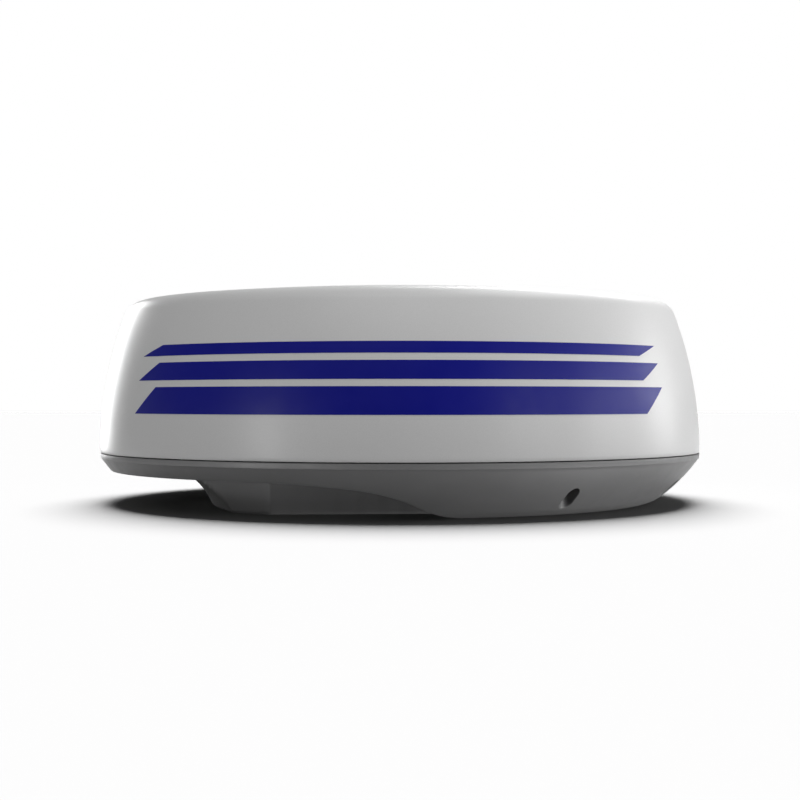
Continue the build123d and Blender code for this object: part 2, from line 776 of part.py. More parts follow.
def build_sensor_chip():
    with BuildPart() as chip:
        with Locations(sensor_place * Pos(0, 0, 51.6)):
            Box(4.0, 4.0, 1.4, align=ON_FLOOR)
    return chip


def build_sensor_magnet():
    with BuildPart() as magnet:
        with Locations(on_circle(47.0, 45.0, belt_z - pulley_half + 3.0)):
            Cylinder(3.0, 4.0, align=HANGING)
    return magnet


# ---------------------------------------------------------------- rotary joint and shaft
joint_stator_top = 70.0


def build_rotary_joint_stator():
    with BuildPart() as stator:
        with Locations((0, 0, floor_z)):
            Cylinder(17.0, 3.0, align=ON_FLOOR)
            Cylinder(shaft_bore_r - 0.5, joint_stator_top - floor_z, align=ON_FLOOR)
            Cylinder(3.0, joint_stator_top - floor_z, align=ON_FLOOR, mode=Mode.SUBTRACT)
    return stator


def build_rotary_joint_rotor():
    low = joint_stator_top + 1.0
    with BuildPart() as rotor:
        with Locations((0, 0, low)):
            Cylinder(shaft_bore_r, turntable_z + 6 - low, align=ON_FLOOR)
        with Locations((0, 0, turntable_z + 6)):
            Cylinder(17.0, 9.0, align=ON_FLOOR)
        with Locations((0, 0, low)):
            Cylinder(3.0, 12.0, align=ON_FLOOR, mode=Mode.SUBTRACT)
    return rotor


def build_antenna_shaft():
    with BuildPart() as shaft:
        with BuildSketch(Plane.XZ):
            Polygon((shaft_bore_r, 9.5), (14.0, 9.5), (14.0, 16.9), (shaft_r, 16.9), (shaft_r, housing_top),
                    (18.0, housing_top), (18.0, belt_z - pulley_half - 1.0),
                    (24.0, belt_z - pulley_half - 1.0), (24.0, belt_z - pulley_half),
                    (19.0, belt_z - pulley_half), (19.0, turntable_z + 6), (shaft_bore_r, turntable_z + 6),
                    align=None)
        revolve()
    return shaft


def build_shaft_locknut():
    with BuildPart() as nut:
        with BuildSketch(Plane.XY.offset(10.5)):
            Circle(20.0)
            Circle(14.0, mode=Mode.SUBTRACT)
            with PolarLocations(20.0, 4):
                Rectangle(5.0, 4.0, mode=Mode.SUBTRACT)
        extrude(amount=6.0)
    return nut


# ---------------------------------------------------------------- rotating array
array_middle_z = (array_bottom_z + array_top_z) / 2
array_bolt_places = [Pos(x, array_back_y + 3, array_middle_z + z) * Rot(-90, 0, 0)
                     for x in (-94, 94) for z in (-24, 24)]


def build_turntable():
    """Hub plate with two folded uprights that carry the array."""
    with BuildPart() as table:
        with BuildSketch(Plane.XY.offset(turntable_z)):
            Circle(42.0)
            with Locations((0, 4)):
                RectangleRounded(190.0, 55.0, 8.0)
            Circle(19.0, mode=Mode.SUBTRACT)
            with PolarLocations(28.0, 4, start_angle=45):
                Circle(2.1, mode=Mode.SUBTRACT)
        extrude(amount=6.0)
        for side in (-1, 1):
            with BuildSketch(Plane.YZ.offset(side * 84.0)):
                Polygon((array_back_y, turntable_z), (28, turntable_z), (28, turntable_z + 12),
                        (array_back_y + 12, 172), (array_back_y, 172), align=None)
            extrude(amount=1.5, both=True)
            with Locations((side * 92.0, array_back_y, turntable_z)):
                Box(19.0, 3.0, 172 - turntable_z, align=(Align.CENTER, Align.MIN, Align.MIN))
        with Locations(*array_bolt_places):
            Cylinder(2.1, 12.0, mode=Mode.SUBTRACT)
    return table


def build_pulley_screws():
    places = [on_circle(28.0, 45 + 90 * turn, turntable_z + 6) for turn in range(4)]
    return cap_screws(places, 2.05, 14.0, 3.6, 4.0)


def build_array_backplate():
    """Folded aluminium channel behind the radiating board."""
    with BuildPart() as plate:
        with BuildSketch(Plane.YZ):
            Polygon((array_back_y, array_bottom_z + 2.5), (array_back_y + 12, array_bottom_z + 2.5),
                    (array_back_y + 12, array_bottom_z), (array_back_y - 2.5, array_bottom_z),
                    (array_back_y - 2.5, array_top_z), (array_back_y + 12, array_top_z),
                    (array_back_y + 12, array_top_z - 2.5), (array_back_y, array_top_z - 2.5), align=None)
        extrude(amount=array_half_length, both=True)
        with Locations(*array_bolt_places):
            Cylinder(2.1, 12.0, mode=Mode.SUBTRACT)
        with Locations((0, array_back_y, array_bottom_z)):
            Box(2 * 104.0, 13.0, 10.0, align=(Align.CENTER, Align.MIN, Align.CENTER), mode=Mode.SUBTRACT)
    return plate


array_front_y = array_back_y - 2.5


def build_array_board():
    with BuildPart() as board:
        with Locations((0, array_front_y, array_bottom_z + 3)):
            Box(2 * array_half_length - 4, board_thickness, array_top_z - array_bottom_z - 6,
                align=(Align.CENTER, Align.MAX, Align.MIN))
    return board


def build_array_patches():
    """Copper patches, four rows along the whole board."""
    with BuildPart() as patches:
        with Locations(Pos(0, array_front_y - board_thickness, array_middle_z) * Rot(90, 0, 0)):
            with GridLocations(21.0, 20.0, 24, 4):
                Box(9.5, 9.5, 0.2, align=ON_FLOOR)
    return patches


def build_array_cover():
    """Thin tray over the radiating board."""
    depth, wall = 13.0, 1.5
    front = Plane(origin=(0, array_front_y, array_middle_z), x_dir=(1, 0, 0), z_dir=(0, -1, 0))
    with BuildPart() as tray:
        with BuildSketch(front):
            RectangleRounded(2 * array_half_length, array_top_z - array_bottom_z, 4.0)
        extrude(amount=depth)
        fillet(tray.faces().sort_by(Axis.Y)[0].edges(), 3.0)
        with BuildSketch(front):
            RectangleRounded(2 * array_half_length - 2 * wall, array_top_z - array_bottom_z - 2 * wall, 2.5)
        extrude(amount=depth - wall, mode=Mode.SUBTRACT)
    return tray


def build_transceiver_board():
    with BuildPart() as board:
        with Locations((0, array_back_y + 4, array_middle_z)):
            Box(150.0, board_thickness, 76.0, align=(Align.CENTER, Align.MIN, Align.CENTER))
        with Locations(*[(x, array_back_y, array_middle_z + z) for x in (-68, 68) for z in (-32, 32)]):
            Box(6.0, 4.0, 6.0, align=(Align.CENTER, Align.MIN, Align.CENTER))
    return board


def build_transceiver_shield():
    low_y = array_back_y + 4 + board_thickness
    with BuildPart() as shield:
        with Locations((0, low_y, array_middle_z)):
            Box(132.0, 12.0, 64.0, align=(Align.CENTER, Align.MIN, Align.CENTER))
            Box(130.0, 11.0, 62.0, align=(Align.CENTER, Align.MIN, Align.CENTER), mode=Mode.SUBTRACT)
        with Locations((0, low_y + 12, array_middle_z)):
            with GridLocations(10.0, 1.0, 11, 1):
                Box(3.0, 9.0, 56.0, align=(Align.CENTER, Align.MIN, Align.CENTER))
    return shield


def build_counterweight():
    with BuildPart() as weight:
        with Locations((0, 27.7, turntable_z + 6)):
            Box(110.0, 7.5, 14.0, align=ON_FLOOR)
        chamfer(weight.edges().filter_by(Axis.Z), 2.0)
    return weight


def build_array_screws():
    return cap_screws(array_bolt_places, 2.05, 5.5, 3.5, 3.0)


# ---------------------------------------------------------------- internal leads
def build_power_lead():
    """From the plug's inner end to the power board's header."""
    return lead([(pocket_x + 17.5, 0, plug_z), (-145, 0, plug_z), (-136, 0, plug_z + 2.0),
                 (-126.7, 0, plug_z + 2.0)], 2.2)


def build_signal_lead():
    """From the foot of the rotary joint out to the main board's header."""
    return lead([(17.2, 0, 8.3), (70, 0, 8.3), (104, 0, 9.5), (122, 0, 16.0), (136.3, 0, 20.0)], 1.8)


def build_motor_lead():
    """From the motor's side round the housing to the power board's second header."""
    return lead([(-28.2, -96, 16), (-46, -96, 18), (-66, -82, 20), (-80, -60, 20), (-86, -44, 20),
                 (-89, -36.9, 20)], 2.0)


def build_array_lead():
    """From the rotary joint's cap up to the transceiver."""
    start = turntable_z + 15.2
    return lead([(0, 4, start), (0, 4, start + 3.5), (0, -3, start + 7.2), (0, -17.6, start + 7.6)], 1.8)


# ---------------------------------------------------------------- every piece, by node name
write("radome_cover", build_radome_cover())
write("base_housing", build_base_housing())
write("rim_gasket", build_rim_gasket())
write("cover_screws", build_cover_screws())
write("screw_seals", build_screw_seals())
write("cover_inserts", build_cover_inserts())
write("mount_inserts", build_mount_inserts())
write("vent_plug", build_vent_plug())
write("vent_membrane", build_vent_membrane())
write("ground_screw", build_ground_screw())
write("connector_receptacle", build_connector_receptacle())
write("connector_pins", build_connector_pins())
write("connector_seal", build_connector_seal())
write("connector_nut", build_connector_nut())
write("bearing_housing", build_bearing_housing())
write("housing_screws", build_housing_screws())
write("lower_bearing_outer", build_bearing_rings(lower_bearing_z, outer=True))
write("upper_bearing_outer", build_bearing_rings(upper_bearing_z, outer=True))
write("lower_bearing_inner", build_bearing_rings(lower_bearing_z, outer=False))
write("upper_bearing_inner", build_bearing_rings(upper_bearing_z, outer=False))
write("bearing_balls", build_bearing_balls())
write("bearing_spacer", ring(bearing_outer_r, 24.0, lower_bearing_z + bearing_width, upper_bearing_z))
write("bearing_retainer", build_bearing_retainer())
write("drive_belt", build_drive_belt())
write("driven_pulley", build_driven_pulley())
write("drive_pulley", build_drive_pulley())
write("pulley_set_screw", build_pulley_set_screw())
write("motor_bracket", build_motor_bracket())
write("drive_motor", build_drive_motor())
write("motor_shaft", build_motor_shaft())
write("motor_rotor", build_motor_rotor())
write("motor_screws", build_motor_screws())
write("main_board", build_board(main_board_centre, main_board_size))
write("power_board", build_board(power_board_centre, power_board_size))
write("board_standoffs", build_board_standoffs())
write("board_screws", build_board_screws())
write("main_board_parts", build_main_board_parts())
write("power_board_parts", build_power_board_parts())
write("shield_cans", build_shield_cans())
write("sensor_post", build_sensor_post())
write("sensor_chip", build_sensor_chip())
write("sensor_magnet", build_sensor_magnet())
write("rotary_joint_stator", build_rotary_joint_stator())
write("rotary_joint_rotor", build_rotary_joint_rotor())
write("antenna_shaft", build_antenna_shaft())
write("shaft_locknut", build_shaft_locknut())
write("turntable", build_turntable())
write("pulley_screws", build_pulley_screws())
write("array_backplate", build_array_backplate())
write("array_board", build_array_board())
write("array_patches", build_array_patches())
write("array_cover", build_array_cover())
write("transceiver_board", build_transceiver_board())
write("transceiver_shield", build_transceiver_shield())
write("counterweight", build_counterweight())
write("array_screws", build_array_screws())
write("power_lead", build_power_lead())
write("signal_lead", build_signal_lead())
write("motor_lead", build_motor_lead())
write("array_lead", build_array_lead())
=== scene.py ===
import json
import math

import bmesh
import bpy
import numpy as np
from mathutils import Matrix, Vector


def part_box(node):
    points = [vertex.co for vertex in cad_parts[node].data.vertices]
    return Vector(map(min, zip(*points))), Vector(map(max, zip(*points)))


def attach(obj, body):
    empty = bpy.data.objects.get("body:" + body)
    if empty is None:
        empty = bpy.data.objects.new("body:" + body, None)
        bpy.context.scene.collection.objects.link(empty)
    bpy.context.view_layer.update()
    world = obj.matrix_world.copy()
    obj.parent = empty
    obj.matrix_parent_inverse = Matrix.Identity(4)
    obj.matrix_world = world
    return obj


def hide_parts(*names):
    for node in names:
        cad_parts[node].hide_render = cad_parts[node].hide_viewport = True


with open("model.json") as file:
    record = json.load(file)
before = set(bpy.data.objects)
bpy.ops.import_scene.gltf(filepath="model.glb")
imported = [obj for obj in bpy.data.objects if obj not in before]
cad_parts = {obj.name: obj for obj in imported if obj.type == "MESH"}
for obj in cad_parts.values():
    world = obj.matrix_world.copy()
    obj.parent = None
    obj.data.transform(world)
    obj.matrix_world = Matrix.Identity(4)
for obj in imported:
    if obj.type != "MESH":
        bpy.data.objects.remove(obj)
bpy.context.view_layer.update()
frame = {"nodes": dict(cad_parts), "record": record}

# Looks of the marine radar dome. Metres, +Z up, -Y towards the camera, -X the aft side with the plug.
MM = 0.001
TINY = 0.0001 * MM                      # a radius that counts as the axis

# ---------------------------------------------------------------- places read from the frame
cover_low, cover_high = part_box("radome_cover")
base_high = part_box("base_housing")[1]
insert_low, insert_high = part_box("mount_inserts")
vent_low, vent_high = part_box("vent_plug")
ground_low, ground_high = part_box("ground_screw")

dome_r = cover_high.x
dome_top = cover_high.z
seam_low, seam_high = base_high.z, cover_low.z
seam_z = (seam_low + seam_high) / 2

# ---------------------------------------------------------------- sizes shared with the CAD part
cover_wall = 3.0 * MM
wall_arc_r = 400.0 * MM
crown_r = 2600.0 * MM
shoulder_r = 18.0 * MM
flange_height, flange_inner_r = 3.0 * MM, 260.0 * MM

base_skin = 3.5 * MM
flat_z = 6.0 * MM                       # inner floor of the base
skirt_points = ((256.5 * MM, 0.0), (287.5 * MM, 25.5 * MM), (303.0 * MM, 44.3 * MM))
skirt_fillet = 38.0 * MM
band_low_z = 45.3 * MM

screw_r, slot_r, boss_r = 279.0 * MM, 277.5 * MM, 285.0 * MM
slot_length, slot_width, screw_seat_z = 20.0 * MM, 12.0 * MM, 40.0 * MM
boss_length, boss_width = 36.0 * MM, 16.0 * MM
screw_angles = (20.5, 57.7, 98.0, 139.0, 180.0, -139.0, -98.0, -57.7, -20.5)

foot_corner, foot_end_x, foot_root = (-140.0 * MM, 205.0 * MM), -191.5 * MM, (60.0 * MM, 190.0 * MM)
foot_corner_r, cove_r, cove_start, side_draft = 25.0 * MM, 68.0 * MM, math.radians(22), math.radians(3)
pocket_x, pocket_half = -172.0 * MM, 30.0 * MM
foot_edge_r, foot_cove_r, foot_limit_r = 2.5 * MM, 5.0 * MM, 235.0 * MM
lip_soft = 1.3 * MM
insert_r = 7.0 * MM
pad_r, pad_height, mount_boss_r, mount_boss_height = 22.0 * MM, 5.0 * MM, 13.0 * MM, 24.0 * MM
fixing_hole_r = 4.0 * MM
recess_half_x, recess_half_y, recess_corner_r, recess_depth = 145.0 * MM, 150.0 * MM, 40.0 * MM, 2.5 * MM
below = -5.0 * MM                       # where cutters from below start

# inside the rim, in mm: the channel and the tub's edge as radius and least height, the gasket's wall as
# radius and depth under the seam
rim_channel = ((301.0, 47.0), (297.0, 42.5), (285.0, 29.0), (270.5, 17.0))
gasket_wall = ((270.5, 0.3), (270.2, 0.0), (267.5, 0.0), (267.5, 3.0),
               (263.5, 3.0), (263.5, 0.0), (260.3, 0.0), (260.0, 0.3))
tub_edge = ((260.0, 14.5), (256.0, 10.0), (250.0, 7.0), (247.0, 6.0))

# a screw slot's rounded edge: how much wider it gets, and its height over the skin
slot_edge = ((0.0, 1.1 * MM), (0.3 * MM, 0.5 * MM), (1.0 * MM, -0.1 * MM))

# stripes as heights over the seam in mm, and their angles in degrees
stripes = ((40, 64), (70, 86), (92, 102))
stripe_half, stripe_slant, stripe_proud = 50.0, 6.0, 0.25 * MM

# the bay's ceiling as x, height and slope along x: level aft, then an S down to the flat bottom
bay_height = 32.8 * MM
ceiling_line = ((-130 * MM, bay_height, 0.0), (-63 * MM, 29.5 * MM, -0.085),
                (17 * MM, 10.3 * MM, -0.53), (58 * MM, 0.0, 0.0))


# ---------------------------------------------------------------- outline helpers
def arc(centre, radius, start, end, count):
    """Points of an arc between two angles in radians."""
    angles = np.linspace(start, end, count)
    return [(centre[0] + radius * math.cos(a), centre[1] + radius * math.sin(a)) for a in angles]


def angle_of(centre, point):
    """The direction from a centre to a point, in radians."""
    return math.atan2(point[1] - centre[1], point[0] - centre[0])


def circle_through(a, b, c):
    """Centre and radius of the circle through three points."""
    (ax, ay), (bx, by), (cx, cy) = a, b, c
    d = 2 * (ax * (by - cy) + bx * (cy - ay) + cx * (ay - by))
    sa, sb, sc = ax * ax + ay * ay, bx * bx + by * by, cx * cx + cy * cy
    x = (sa * (by - cy) + sb * (cy - ay) + sc * (ay - by)) / d
    y = (sa * (cx - bx) + sb * (ax - cx) + sc * (bx - ax)) / d
    return (x, y), math.hypot(ax - x, ay - y)


def circles_meet(a, ra, b, rb):
    """The two circles' common point with the larger first coordinate."""
    gap = math.hypot(b[0] - a[0], b[1] - a[1])
    along = (ra * ra - rb * rb + gap * gap) / (2 * gap)
    aside = math.sqrt(ra * ra - along * along)
    ux, uy = (b[0] - a[0]) / gap, (b[1] - a[1]) / gap
    middle = (a[0] + along * ux, a[1] + along * uy)
    return max((middle[0] + side * aside * uy, middle[1] - side * aside * ux) for side in (-1, 1))


def ceiling(x):
    """Height of the bay's ceiling at x, and 0 where the full skirt begins."""
    xs, zs, slopes = (np.array(column) for column in zip(*ceiling_line))
    x = np.clip(x, xs[0], xs[-1])
    i = np.clip(np.searchsorted(xs, x) - 1, 0, len(xs) - 2)
    h = xs[i + 1] - xs[i]
    t = (x - xs[i]) / h
    first = zs[i] * (2 * t**3 - 3 * t**2 + 1) + slopes[i] * h * (t**3 - 2 * t**2 + t)
    return first + zs[i + 1] * (3 * t**2 - 2 * t**3) + slopes[i + 1] * h * (t**3 - t**2)


# ---------------------------------------------------------------- mesh helpers
def mark_sharp(bm, sharp_deg=30.0):
    """Smooth shading, but for edges where faces meet at more than the angle."""
    for face in bm.faces:
        face.smooth = True
    for edge in bm.edges:
        edge.smooth = len(edge.link_faces) == 2 and edge.calc_face_angle(math.pi) < math.radians(sharp_deg)


def to_object(name, bm):
    """A shown object from a bmesh."""
    bmesh.ops.recalc_face_normals(bm, faces=bm.faces)
    mark_sharp(bm)
    mesh = bpy.data.meshes.new(name)
    bm.to_mesh(mesh)
    bm.free()
    made = bpy.data.objects.new(name, mesh)
    bpy.context.scene.collection.objects.link(made)
    return made


def skin_rings(bm, rings, closed_way):
    """Quads between neighbouring rings of vertices; a ring of one vertex is a point."""
    for low, high in zip(rings, rings[1:]):
        count = max(len(low), len(high))
        last = count if closed_way else count - 1
        for i in range(last):
            j = (i + 1) % count
            corners = [low[i % len(low)], low[j % len(low)], high[j % len(high)], high[i % len(high)]]
            corners = list(dict.fromkeys(corners))
            if len(corners) > 2:
                bm.faces.new(corners)


def circle(radius, place=(0.0, 0.0), count=48):
    """A circle's points about a place."""
    return arc(place, radius, 0, math.tau * (count - 1) / count, count)


def lathe_into(bm, outline, steps=96, centre=(0.0, 0.0)):
    """Turn an outline of (radius, height) about an upright line; a closed one repeats its first point."""
    closed = outline[0] == outline[-1]
    rings = []
    for radius, height in outline[:-1] if closed else outline:
        places = [centre] if radius < TINY else circle(radius, centre, steps)
        rings.append([bm.verts.new((x, y, height)) for x, y in places])
    if closed:
        rings.append(rings[0])
    skin_rings(bm, rings, closed_way=True)


def prism_into(bm, outline, low, high):
    """An upright prism on an outline of (x, y). Its bottom is a height, or a function of x and y."""
    height = low if callable(low) else lambda x, y: low
    bottom = [bm.verts.new((x, y, height(x, y))) for x, y in outline]
    top = [bm.verts.new((x, y, high)) for x, y in outline]
    bm.faces.new(bottom[::-1])
    bm.faces.new(top)
    skin_rings(bm, [bottom, top], closed_way=True)


def stadium(length, width, place, angle, count=12):
    """A stadium outline about a place, its long way at an angle in radians."""
    half, radius = (length - width) / 2, width / 2
    points = arc((half, 0), radius, -math.pi / 2, math.pi / 2, count)
    points += arc((-half, 0), radius, math.pi / 2, 3 * math.pi / 2, count)
    c, s = math.cos(angle), math.sin(angle)
    return [(place[0] + x * c - y * s, place[1] + x * s + y * c) for x, y in points]


def rounded_box(half_x, half_y, radius, place=(0.0, 0.0), count=8):
    """A rectangle with round corners, as (x, y) points."""
    points = []
    for quarter, (sx, sy) in enumerate(((1, 1), (-1, 1), (-1, -1), (1, -1))):
        corner = (place[0] + sx * (half_x - radius), place[1] + sy * (half_y - radius))
        points += arc(corner, radius, quarter * math.pi / 2, (quarter + 1) * math.pi / 2, count)
    return points


def combined(body, tool, operation):
    """body with a boolean of tool applied; both given as objects, tool removed."""
    modifier = body.modifiers.new(operation, "BOOLEAN")
    modifier.operation = operation
    modifier.solver = "MANIFOLD"
    modifier.object = tool
    graph = bpy.context.evaluated_depsgraph_get()
    mesh = bpy.data.meshes.new_from_object(body.evaluated_get(graph))
    body.modifiers.clear()
    body.data = mesh
    bpy.data.objects.remove(tool)
    return body


def sharpen(piece, sharp_deg):
    """Weld a piece after its booleans and mark its sharp edges again."""
    bm = bmesh.new()
    bm.from_mesh(piece.data)
    bmesh.ops.remove_doubles(bm, verts=bm.verts, dist=0.001 * MM)
    bmesh.ops.dissolve_degenerate(bm, edges=bm.edges, dist=0.001 * MM)
    mark_sharp(bm, sharp_deg)
    bm.to_mesh(piece.data)
    bm.free()


def on_circle(radius, degrees):
    """The place at an angle on a circle about the axis."""
    return radius * math.cos(math.radians(degrees)), radius * math.sin(math.radians(degrees))


def show(piece, body, material, slot, *nodes):
    """Give a piece its material and body, and hide the CAD nodes it stands for; the finish slot is not
    used.
    """
    piece.data.materials.clear()
    piece.data.materials.append(material)
    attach(piece, body)
    if nodes:
        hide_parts(*nodes)
    return piece


# ---------------------------------------------------------------- materials
def new_material(name, base, roughness, metallic=0.0, specular=0.5):
    """A principled material, its nodes and its shader."""
    material = bpy.data.materials.new(name)
    material.use_nodes = True
    shader = material.node_tree.nodes["Principled BSDF"]
    shader.inputs["Base Color"].default_value = (*base, 1.0)
    shader.inputs["Roughness"].default_value = roughness
    shader.inputs["Metallic"].default_value = metallic
    shader.inputs["Specular IOR Level"].default_value = specular
    return material, material.node_tree, shader


def noise(tree, scale, detail=4.0, stretch=(1.0, 1.0, 1.0)):
    """Noise over the object's own place, finer along an axis where stretch is larger."""
    place = tree.nodes.new("ShaderNodeTexCoord")
    mapping = tree.nodes.new("ShaderNodeMapping")
    mapping.inputs["Scale"].default_value = stretch
    texture = tree.nodes.new("ShaderNodeTexNoise")
    texture.inputs["Scale"].default_value = scale
    texture.inputs["Detail"].default_value = detail
    tree.links.new(place.outputs["Object"], mapping.inputs["Vector"])
    tree.links.new(mapping.outputs["Vector"], texture.inputs["Vector"])
    return texture.outputs["Fac"]


def vary(tree, shader, socket, fac, low, high):
    """Drive a number or colour socket between two values by a pattern."""
    ramp = tree.nodes.new("ShaderNodeValToRGB")
    ramp.color_ramp.elements[0].position = 0.3
    ramp.color_ramp.elements[1].position = 0.7
    for element, value in zip(ramp.color_ramp.elements, (low, high)):
        element.color = (*value, 1.0) if isinstance(value, tuple) else (value, value, value, 1.0)
    tree.links.new(fac, ramp.inputs["Fac"])
    tree.links.new(ramp.outputs["Color"], shader.inputs[socket])


def bumps(tree, shader, layers):
    """Stack bump layers of (pattern, strength, distance in metres) onto the shader."""
    normal = None
    for fac, strength, distance in layers:
        bump = tree.nodes.new("ShaderNodeBump")
        bump.inputs["Strength"].default_value = strength
        bump.inputs["Distance"].default_value = distance
        tree.links.new(fac, bump.inputs["Height"])
        if normal is not None:
            tree.links.new(normal, bump.inputs["Normal"])
        normal = bump.outputs["Normal"]
    tree.links.new(normal, shader.inputs["Normal"])


def moulded(name, base, roughness, grain=1400.0, depth=0.06, spread=0.06, specular=0.5):
    """Moulded plastic: slight tone drift, fine grain and uneven gloss."""
    material, tree, shader = new_material(name, base, roughness, specular=specular)
    darker = tuple(c * (1 - spread) for c in base)
    lighter = tuple(min(1.0, c * (1 + spread)) for c in base)
    vary(tree, shader, "Base Color", noise(tree, 9.0, 5.0), darker, lighter)
    vary(tree, shader, "Roughness", noise(tree, 60.0, 6.0), roughness - 0.05, roughness + 0.06)
    bumps(tree, shader, [(noise(tree, grain, 3.0), depth, 0.05 * MM),
                         (noise(tree, 25.0, 2.0), 0.03, 0.4 * MM)])
    return material


def metal(name, base, roughness, stretch=(1.0, 1.0, 1.0), grain=500.0, depth=0.08):
    """Machined, cast or plated metal: fine marks and uneven roughness."""
    material, tree, shader = new_material(name, base, roughness, metallic=1.0)
    vary(tree, shader, "Base Color", noise(tree, 30.0), tuple(c * 0.9 for c in base), base)
    vary(tree, shader, "Roughness", noise(tree, grain, 4.0, stretch),
         roughness * 0.75, min(1.0, roughness * 1.3))
    bumps(tree, shader, [(noise(tree, grain, 4.0, stretch), depth, 0.03 * MM)])
    return material


def gelcoat(name):
    """The cover: pale satin gelcoat with a faint orange peel and speckle."""
    material, tree, shader = new_material(name, (0.805, 0.805, 0.805), 0.42)
    vary(tree, shader, "Base Color", noise(tree, 900.0, 2.0), (0.79, 0.79, 0.79), (0.82, 0.82, 0.82))
    vary(tree, shader, "Roughness", noise(tree, 14.0, 5.0), 0.39, 0.46)
    bumps(tree, shader, [(noise(tree, 420.0, 2.0), 0.05, 0.06 * MM),
                         (noise(tree, 12.0, 2.0), 0.02, 1.0 * MM)])
    shader.inputs["Coat Weight"].default_value = 0.15
    shader.inputs["Coat Roughness"].default_value = 0.25
    return material


def circuit_board(name):
    """Solder mask over faint copper tracks and pads."""
    material, tree, shader = new_material(name, (0.02, 0.13, 0.07), 0.35)
    bricks = tree.nodes.new("ShaderNodeTexBrick")
    bricks.inputs["Scale"].default_value = 160.0
    bricks.inputs["Color1"].default_value = (0.015, 0.11, 0.055, 1)
    bricks.inputs["Color2"].default_value = (0.022, 0.15, 0.08, 1)
    bricks.inputs["Mortar"].default_value = (0.03, 0.20, 0.10, 1)
    bricks.inputs["Mortar Size"].default_value = 0.05
    place = tree.nodes.new("ShaderNodeTexCoord")
    tree.links.new(place.outputs["Object"], bricks.inputs["Vector"])
    tree.links.new(bricks.outputs["Color"], shader.inputs["Base Color"])
    bumps(tree, shader, [(bricks.outputs["Fac"], 0.15, 0.03 * MM), (noise(tree, 700.0), 0.05, 0.03 * MM)])
    return material


materials = {
    "radome": gelcoat("radome_gelcoat"),
    "housing": moulded("housing_grey", (0.116, 0.116, 0.117), 0.5, depth=0.10),
    "decal": moulded("decal_blue", (0.0, 0.003, 0.27), 0.4, grain=600.0, depth=0.01, spread=0.04,
                     specular=0.25),
    "rubber": moulded("rubber_black", (0.018, 0.018, 0.018), 0.75, grain=900.0, depth=0.15),
    "belt": moulded("belt_rubber", (0.014, 0.014, 0.014), 0.7, grain=700.0, depth=0.2),
    "black_plastic": moulded("black_plastic", (0.02, 0.02, 0.021), 0.45),
    "chip_black": moulded("chip_black", (0.018, 0.018, 0.019), 0.55, grain=1800.0),
    "membrane": moulded("membrane_white", (0.75, 0.75, 0.72), 0.85, grain=2600.0, depth=0.3),
    "tray_white": moulded("tray_white", (0.72, 0.72, 0.69), 0.6),
    "lead_black": moulded("lead_black", (0.02, 0.02, 0.02), 0.5),
    "lead_grey": moulded("lead_grey", (0.14, 0.14, 0.15), 0.5),
    "lead_red": moulded("lead_red", (0.28, 0.015, 0.015), 0.5),
    "motor_black": moulded("motor_black", (0.022, 0.022, 0.023), 0.4, grain=400.0, depth=0.12),
    "board_green": circuit_board("board_green"),
    "stainless": metal("stainless", (0.58, 0.58, 0.58), 0.3, (1, 1, 6)),
    "brass": metal("brass", (0.74, 0.55, 0.25), 0.32, (1, 1, 8)),
    "gold": metal("gold_plate", (0.88, 0.64, 0.28), 0.2),
    "copper": metal("copper_plate", (0.80, 0.42, 0.26), 0.35),
    "nickel": metal("nickel_plate", (0.62, 0.60, 0.56), 0.28),
    "cast_aluminium": metal("cast_aluminium", (0.50, 0.51, 0.52), 0.55, grain=700.0, depth=0.25),
    "aluminium": metal("milled_aluminium", (0.70, 0.71, 0.72), 0.35, (8, 1, 1)),
    "bearing_steel": metal("bearing_steel", (0.52, 0.52, 0.53), 0.25, (1, 1, 10)),
    "polished_steel": metal("polished_steel", (0.70, 0.70, 0.71), 0.12),
    "black_anodised": metal("black_anodised", (0.07, 0.07, 0.075), 0.45, (1, 1, 8)),
}


# ---------------------------------------------------------------- radome cover
def dome_section(inset, count=40):
    """Half section from the axis out over the shoulder and down to the seam, moved inwards by inset."""
    crown_centre, side_centre = (0.0, dome_top - crown_r), (dome_r - wall_arc_r, seam_z)
    crown, side, corner = crown_r - inset, wall_arc_r - inset, shoulder_r - inset
    pivot = circles_meet(crown_centre, crown - corner, side_centre, side - corner)
    crown_angle, side_angle = angle_of(crown_centre, pivot), angle_of(side_centre, pivot)
    end_angle = math.asin((seam_high - seam_z) / side)
    points = arc(crown_centre, crown, math.pi / 2, crown_angle, count)
    points += arc(pivot, corner, crown_angle, side_angle, 14)[1:]
    points += arc(side_centre, side, side_angle, end_angle, count)[1:]
    return points


def dome_radius(height):
    """Outer radius of the cover's side at a height."""
    return dome_r - wall_arc_r + math.sqrt(wall_arc_r**2 - (height - seam_z) ** 2)


def build_cover():
    """The cover's shell with its inner flange, as one turned skin."""
    lip, inner_fillet = 0.7 * MM, 2.0 * MM
    flange_top = seam_high + flange_height
    outer, inner = dome_section(0.0)[:-1], dome_section(cover_wall)[:-1]
    outer_r, inner_r = outer[-1][0], inner[-1][0]
    rim = [(outer_r, seam_high + lip), (outer_r - 0.3 * lip, seam_high + 0.3 * lip),
           (outer_r - lip, seam_high), (flange_inner_r, seam_high), (flange_inner_r, flange_top)]
    wall_foot = [(inner_r - inner_fillet, flange_top), (inner_r, flange_top + inner_fillet)]
    outer = [p for p in outer if p[1] > seam_high + lip]
    inner = [p for p in inner if p[1] > flange_top + inner_fillet]
    bm = bmesh.new()
    lathe_into(bm, outer + rim + wall_foot + inner[::-1], steps=360)
    shell = to_object("cover_shell", bm)
    show(shell, "base", materials["radome"], "radome", "radome_cover")


